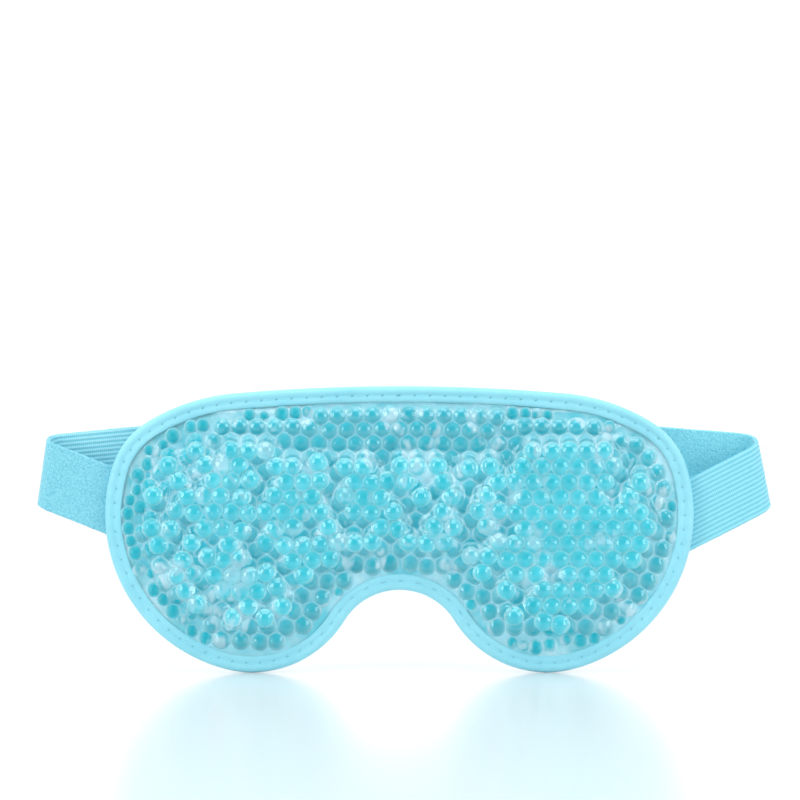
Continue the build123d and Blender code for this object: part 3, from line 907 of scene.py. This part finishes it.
def make_strap_half(name):
    half = HALVES[name]
    reach, turn = half["reach"], half["reach"] + half["step"]
    cos_slant = math.cos(math.radians(half["slant"]))
    end = turn + half["tail"] * cos_slant
    cuts = {"root": -6.6, "outer": reach * 0.5, "link": reach + half["step"] / 2, "tail": turn + 22.0}
    peel = end - TAB_LENGTH * cos_slant
    stations = list(np.arange(cuts["root"], reach - half["bend"], 0.9))
    stations += list(np.linspace(reach - half["bend"], turn + half["bend"], 44))
    stations += list(np.arange(turn + half["bend"] + 0.9, end, 0.9)) + [end]
    stations = np.array(stations)
    for cut in list(cuts.values())[1:]:
        stations[np.argmin(np.abs(stations - cut))] = cut
    rows = []
    for a in stations:
        if a <= cuts["tail"]:
            rows.append(strap_row(half, a))
        else:
            rows.append(tail_row(half, a, float(smoothstep((a - cuts["tail"]) / 50.0))))
    data = ribbon(rows, ribbed_front=(name == "right"), seed=60 if name == "left" else 80)
    data = data + (outward_normals(data[0], rows),)
    # The rear-face materials carry painted fill light.
    front, rear = ("rib_right", "dot_right_painted_fill") if name == "right" else ("dot_left", "rib_left_painted_fill")
    front, rear = MATS[front], MATS[rear]

    def at(a):
        return int(np.argmin(np.abs(stations - a)))

    last = len(stations) - 1
    i_outer, i_link, i_tail = at(cuts["outer"]), at(cuts["link"]), at(cuts["tail"])
    pieces = []
    ob = ribbon_piece(f"{name}_strap_at_seam", data, 0, i_outer, front, rear)
    square_to_crease(half, -1.6)
    square_to_crease(half, 2.4)
    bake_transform(ob)
    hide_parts(f"{name}_strap_root", f"{name}_strap_outer")
    pieces.append(ob)
    ob = ribbon_piece(f"{name}_strap_corner", data, i_outer, i_link, front, rear)
    square_to_crease(half, reach - half["bend"])
    square_to_crease(half, reach + half["bend"])
    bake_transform(ob)
    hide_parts(f"{name}_strap_fold")
    pieces.append(ob)
    ob = ribbon_piece(f"{name}_strap_turn", data, i_link, i_tail, front, rear)
    square_to_crease(half, turn - half["bend"])
    square_to_crease(half, turn + half["bend"])
    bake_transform(ob)
    pieces.append(ob)
    if name == "left":
        ob = ribbon_piece("left_strap_long_run", data, i_tail, last, front, rear)
        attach(ob, "left_tail")
        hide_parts("left_strap_tail")
    else:
        i_peel = at(peel - 9.0)
        i_peeled = at(peel + 9.0)
        ob = ribbon_piece("right_strap_long_run", data, i_tail, i_peel, front, rear)
        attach(ob, "right_tail")
        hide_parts("right_strap_tail")
        bend = ribbon_piece("right_strap_peel_bend", data, i_peel, i_peeled, front, rear)
        point_at(half, peel - 3.0)
        point_at(half, peel + 3.0)
        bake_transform(bend)
        tab = ribbon_piece("right_strap_end_tab", data, i_peeled, last, front, rear)
        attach(tab, "hook_tab")
        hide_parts("right_strap_tab")
        pieces += [bend, tab]
    pieces.append(ob)


for name in ("left", "right"):
    make_strap_half(name)


# ---------------------------------------------------------------- hooks, hem and seam threads

HOOK_PATCH = 1.2
HOOK_LENGTH = 38.0
HOOK_WIDTH = 20.0
HOOK_BASE = 0.5
HOOK_PITCH = 1.45
# A hook's middle line from foot to tip: distance along the strap and height, in mm.
HOOK_LINE = [(0.0, 0.0), (0.0, 0.32), (0.08, 0.52), (0.28, 0.6), (0.46, 0.5), (0.5, 0.36)]
HOOK_SIDES = 5


def make_hook_patch():
    """The hook strip: a thin nylon base with rows of small bent hooks, in the patch's own volume."""
    half = HALVES["right"]
    end = half["reach"] + half["step"] + half["tail"] * math.cos(math.radians(half["slant"]))
    _, line, _, n, _, _ = tail_row(half, end - 10.0, 1.0)
    line, out = Vector(line), -Vector(n)
    run = line.cross(out)
    corners = [v.co / MM for v in NODES["hook_patch"].data.vertices]
    middle = Vector()
    for axis in (line, out, run):
        reach = [c.dot(axis) for c in corners]
        middle += axis * (min(reach) + max(reach)) / 2
    root = middle - out * (HOOK_PATCH / 2)
    verts, faces = [], []

    def box(centre, sizes):
        start = len(verts)
        for a in (-1, 1):
            for b in (-1, 1):
                for c in (-1, 1):
                    corner = run * (a * sizes[0]) + line * (b * sizes[1]) + out * (c * sizes[2])
                    verts.append(centre + corner / 2)
        for f in ((0, 1, 3, 2), (4, 6, 7, 5), (0, 4, 5, 1), (2, 3, 7, 6), (0, 2, 6, 4), (1, 5, 7, 3)):
            faces.append(tuple(start + i for i in f))

    box(root + out * (HOOK_BASE / 2), (HOOK_LENGTH, HOOK_WIDTH, HOOK_BASE))
    for i in range(int(HOOK_LENGTH / HOOK_PITCH) - 1):
        for j in range(int(HOOK_WIDTH / HOOK_PITCH) - 1):
            way = 1 if j % 2 else -1
            foot = root + out * (HOOK_BASE - 0.05) + run * ((i + 1) * HOOK_PITCH - HOOK_LENGTH / 2)
            foot += line * ((j + 1) * HOOK_PITCH - HOOK_WIDTH / 2 + 0.2)
            start = len(verts)
            for k, (along, up) in enumerate(HOOK_LINE):
                r = 0.13 * (1 - 0.06 * k)
                for q in range(HOOK_SIDES):
                    t = 2 * math.pi * q / HOOK_SIDES
                    forward = way * along + r * math.cos(t) * (1 if k < 3 else 0.5)
                    height = up + (r * math.cos(t) if k > 2 else 0)
                    verts.append(foot + run * forward + out * height + line * (r * math.sin(t)))
            for k in range(len(HOOK_LINE) - 1):
                for q in range(HOOK_SIDES):
                    a = start + k * HOOK_SIDES + q
                    b = start + k * HOOK_SIDES + (q + 1) % HOOK_SIDES
                    c, d = b + HOOK_SIDES, a + HOOK_SIDES
                    faces.append((a, b, c, d) if way > 0 else (b, a, d, c))
            top = tuple(start + (len(HOOK_LINE) - 1) * HOOK_SIDES + q for q in range(HOOK_SIDES))
            faces.append(top if way > 0 else top[::-1])
            faces.append(tuple(start + q for q in range(HOOK_SIDES))[::-way])
    ob = make_mesh("hook_strip", [tuple(v) for v in verts], faces, smooth=False)
    ob.data.materials.append(MATS["hook"])
    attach(ob, "hook_tab")
    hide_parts("hook_patch")


make_hook_patch()

for node_name, mat_name in (("left_root_stitches", "thread"), ("right_root_stitches", "thread"),
                            ("left_hem_stitches", "thread"), ("hook_patch_stitches", "thread"),
                            ("left_tip_hem", "hem")):
    NODES[node_name].data.materials.clear()
    NODES[node_name].data.materials.append(MATS[mat_name])


# ---------------------------------------------------------------- floor, light, camera

FLOOR_Z = -67.95
bpy.ops.mesh.primitive_plane_add(size=12, location=(0, 0, FLOOR_Z * MM))
floor = bpy.context.object
floor.name = "floor"
floor.data.materials.append(floor_material())


def area_light(name, location, target, size, watts):
    light = bpy.data.lights.new(name, "AREA")
    light.shape = "RECTANGLE"
    light.size, light.size_y = size
    light.energy = watts
    ob = bpy.data.objects.new(name, light)
    ob.location = location
    ob.rotation_euler = (Vector(target) - Vector(location)).to_track_quat("-Z", "Y").to_euler()
    bpy.context.scene.collection.objects.link(ob)
    return ob


area_light("soft_top", (0, -0.35, 1.0), (0, 0, 0), (1.0, 0.8), 4.6)
area_light("soft_left", (-0.9, -0.7, 0.35), (0, 0, 0), (0.5, 0.9), 4.0)
area_light("soft_right", (0.9, -0.7, 0.35), (0, 0, 0), (0.5, 0.9), 3.4)

world = bpy.data.worlds.new("studio")
bpy.context.scene.world = world
world.use_nodes = True
wt = world.node_tree
direction = wt.nodes.new("ShaderNodeTexCoord").outputs["Generated"]
split = wt.nodes.new("ShaderNodeSeparateXYZ")
wt.links.new(direction, split.inputs[0])
ramp = wt.nodes.new("ShaderNodeMapRange")
ramp.interpolation_type = "SMOOTHSTEP"
wt.links.new(split.outputs["Y"], ramp.inputs["Value"])
ramp.inputs["From Min"].default_value = -1.0
ramp.inputs["From Max"].default_value = 0.1
ramp.inputs["To Min"].default_value = 0.4
ramp.inputs["To Max"].default_value = 1.1
wt.links.new(ramp.outputs["Result"], wt.nodes["Background"].inputs["Strength"])
wt.nodes["Background"].inputs["Color"].default_value = (1, 1, 1, 1)

VIEW_WIDTH = 0.2924
CAMERA_BACK = 1.15
camera = bpy.data.objects.new("camera", bpy.data.cameras.new("camera"))
camera.location = (0.0002, -CAMERA_BACK - 0.01, 0.0323)
camera.rotation_euler = (math.pi / 2, 0, 0)
camera.data.sensor_width = 36
camera.data.lens = 36 * CAMERA_BACK / VIEW_WIDTH
bpy.context.scene.collection.objects.link(camera)
bpy.context.scene.camera = camera
bpy.context.scene.view_settings.view_transform = "Standard"
